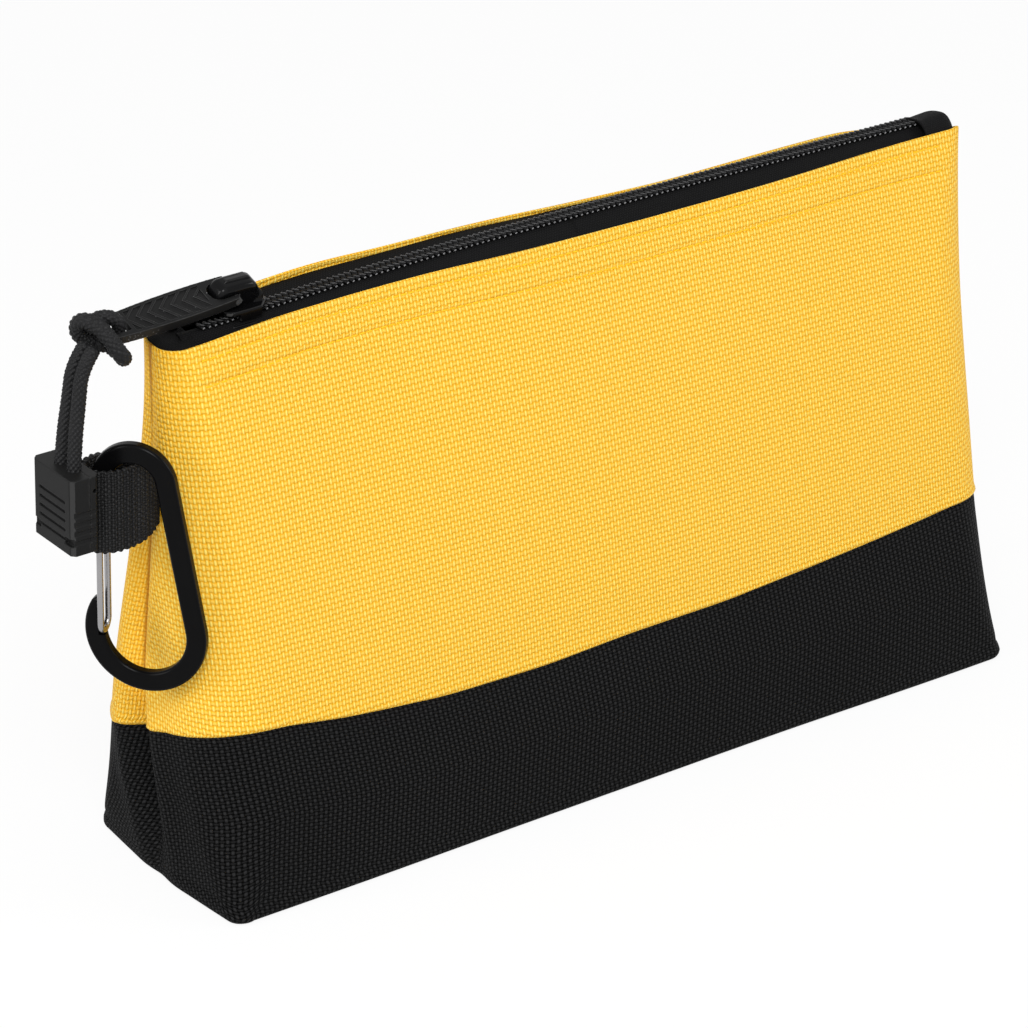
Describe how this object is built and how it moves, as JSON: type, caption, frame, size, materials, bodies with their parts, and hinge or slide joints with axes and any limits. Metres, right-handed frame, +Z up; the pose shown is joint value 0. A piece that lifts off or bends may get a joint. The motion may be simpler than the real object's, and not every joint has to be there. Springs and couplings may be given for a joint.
{
  "type": "zippered tool bag",
  "caption": "Stand-up pouch of woven fabric with a boxed base and a coil zip that opens the whole top; a corded pull runs it, and a wire-gate clip hangs on a side loop.",
  "frame": {"origin": "middle of the flat base, on the surface the bag stands on", "axes": "+X along the zip to its closed end's far side, -Y out of the front panel, +Z up"},
  "size_m": [0.4016, 0.09, 0.2194],
  "materials": {
    "yellow_fabric": "coarse plain weave, yellow, slight sheen",
    "black_fabric": "coarse plain weave, black",
    "black_tape": "fine twill tape, black",
    "zip_coil": "satin black nylon coil",
    "slider_metal": "black painted zinc",
    "bright_steel": "bright drawn steel",
    "grip_plastic": "satin black moulding",
    "black_cord": "braided cord, black",
    "end_plastic": "matt black moulding",
    "black_webbing": "ribbed webbing, black",
    "clip_metal": "gloss black anodised"
  },
  "bodies": {
    "bag": {"front_panel": "yellow_fabric", "back_panel": "yellow_fabric", "base_wrap": "black_fabric", "left_seam_binding": "black_tape", "right_seam_binding": "black_tape", "front_facing": "black_tape", "back_facing": "black_tape", "left_zip_tab": "black_fabric", "right_zip_tab": "black_fabric", "webbing_loop": "black_webbing"},
    "front_tape": {"front_zip_tape": "black_tape", "front_coil": "zip_coil"},
    "back_tape": {"back_zip_tape": "black_tape", "back_coil": "zip_coil"},
    "slider": {"zip_slider": "slider_metal"},
    "pull": {"pull_grip": "grip_plastic", "slider_pin": "slider_metal"},
    "cord": {"cord_knot": "black_cord", "front_cord_strand": "black_cord", "back_cord_strand": "black_cord", "cord_end_body": "end_plastic", "cord_end_cap": "end_plastic"},
    "carabiner": {"carabiner_frame": "clip_metal"},
    "gate": {"gate_wire": "bright_steel", "gate_pin": "bright_steel"}
  },
  "joints": [
    {"name": "zip_slide", "type": "slide", "parent": "bag", "child": "slider", "axis": [1, 0, 0], "range_m": [0, 0.288], "deforming": ["front_zip_tape", "back_zip_tape", "front_coil", "back_coil", "cord_knot", "front_cord_strand", "back_cord_strand", "cord_end_body", "cord_end_cap"]},
    {"name": "front_tape_part", "type": "hinge", "parent": "bag", "child": "front_tape", "pos_m": [0, -0.0022, 0.2042], "axis": [-1, 0, 0], "range_deg": [0, 60]},
    {"name": "back_tape_part", "type": "hinge", "parent": "bag", "child": "back_tape", "pos_m": [0, 0.0162, 0.2042], "axis": [1, 0, 0], "range_deg": [0, 60]},
    {"name": "puller_flip", "type": "hinge", "parent": "slider", "child": "pull", "pos_m": [-0.144, 0.007, 0.2143], "axis": [-0.0209, 0.9397, 0.3414], "range_deg": [0, 115]},
    {"name": "cord_swing", "type": "hinge", "parent": "pull", "child": "cord", "pos_m": [-0.1947, 0.007, 0.2112], "axis": [0, 1, 0], "range_deg": [0, 120]},
    {"name": "carabiner_turn", "type": "hinge", "parent": "bag", "child": "carabiner", "pos_m": [-0.2, 0.0003, 0.15], "axis": [0, 0, 1], "range_deg": [-40, 0]},
    {"name": "carabiner_gate", "type": "hinge", "parent": "carabiner", "child": "gate", "pos_m": [-0.20006, 0.00038, 0.146], "axis": [-0.788, -0.6157, 0], "range_deg": [0, 20], "stiffness_Nm_per_rad": 0.05}
  ],
  "couplings": [
    {"joint": "front_tape_part", "follows": "zip_slide", "rad_per_m": 3.636},
    {"joint": "back_tape_part", "follows": "zip_slide", "rad_per_m": 3.636}
  ]
}
